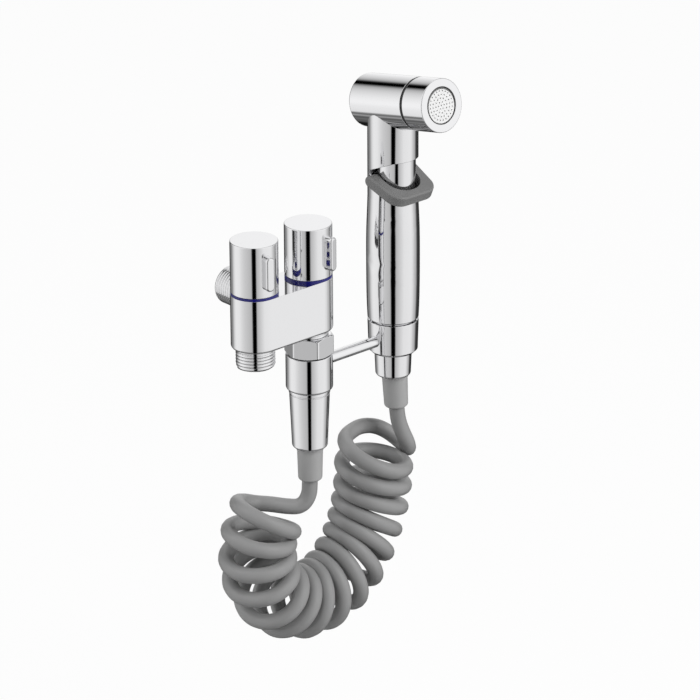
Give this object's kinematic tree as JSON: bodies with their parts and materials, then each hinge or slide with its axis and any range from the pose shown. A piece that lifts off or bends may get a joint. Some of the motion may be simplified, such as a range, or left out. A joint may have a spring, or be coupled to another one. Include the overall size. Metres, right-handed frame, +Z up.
{
  "type": "handheld bidet shower",
  "caption": "Wall-mounted handheld bidet shower with an angle valve, holder cup, curly hose and trigger spray handset, chrome with a grey hose.",
  "frame": {"origin": "on the axis of the wall inlet's thread, in the plane of the wall, 14 mm from the thread's end", "axes": "+Z up, +Y along the inlet into the wall, +X along the wall from the valve to the handset"},
  "size_m": [0.1405, 0.086, 0.3244],
  "materials": {
    "chrome": "polished chrome plate",
    "brass": "machined",
    "ceramic": "lapped ceramic",
    "rubber": "matt black rubber",
    "steel": "bright steel",
    "blue_ring": "glossy navy blue",
    "grey_plastic": "satin moulded grey",
    "grey_rubber": "soft matt grey",
    "hose": "satin grey polyurethane",
    "spray_face": "satin light grey"
  },
  "bodies": {
    "root": {"valve_body": "chrome", "union_nut": "chrome", "holder_body": "chrome", "holder_arm": "chrome", "holder_cup": "chrome", "valve_hose_nut": "chrome", "handset_hose_nut": "chrome", "handset_body": "chrome", "head_cap": "chrome", "left_headwork": "brass", "right_headwork": "brass", "valve_hose_tail": "brass", "handset_hose_tail": "brass", "plunger_seat": "brass", "spring_plug": "brass", "left_fixed_disc": "ceramic", "right_fixed_disc": "ceramic", "left_port_seal": "rubber", "right_port_seal": "rubber", "union_washer": "rubber", "valve_hose_washer": "rubber", "handset_hose_washer": "rubber", "head_seal": "rubber", "groove_ring": "rubber", "trigger_pin": "steel", "return_spring": "steel", "left_indicator_ring": "blue_ring", "right_indicator_ring": "blue_ring", "valve_strain_relief": "grey_rubber", "handset_strain_relief": "grey_rubber", "valve_hose_lead": "hose", "hose_coil": "hose", "handset_hose_lead": "hose", "spray_plate": "spray_face"},
    "left_knob": {"left_knob": "chrome", "left_spindle": "brass", "left_moving_disc": "ceramic", "left_grub_screw": "steel"},
    "right_knob": {"right_knob": "chrome", "right_spindle": "brass", "right_moving_disc": "ceramic", "right_grub_screw": "steel"},
    "trigger": {"trigger": "grey_plastic"},
    "plunger": {"plunger_stem": "brass", "plunger_seal": "rubber", "cross_pin": "steel"}
  },
  "joints": [
    {"name": "left_knob_turn", "type": "hinge", "parent": "root", "child": "left_knob", "pos_m": [-0.01925, -0.0304, 0.0126], "axis": [0, 0, 1], "range_deg": [0, 90]},
    {"name": "right_knob_turn", "type": "hinge", "parent": "root", "child": "right_knob", "pos_m": [0.01925, -0.0304, 0.0126], "axis": [0, 0, 1], "range_deg": [0, 90]},
    {"name": "trigger_swing", "type": "hinge", "parent": "root", "child": "trigger", "pos_m": [0.08135, -0.02954, 0.0547], "axis": [-1, 0, 0], "range_deg": [0, 20], "stiffness_Nm_per_rad": 0.15, "springref_deg": -11.46},
    {"name": "plunger_slide", "type": "slide", "parent": "root", "child": "plunger", "axis": [0, 0, 1], "range_m": [0, 0.00205], "deforming": ["return_spring"]}
  ],
  "couplings": [
    {"joint": "plunger_slide", "follows": "trigger_swing", "m_per_rad": 0.005773}
  ]
}
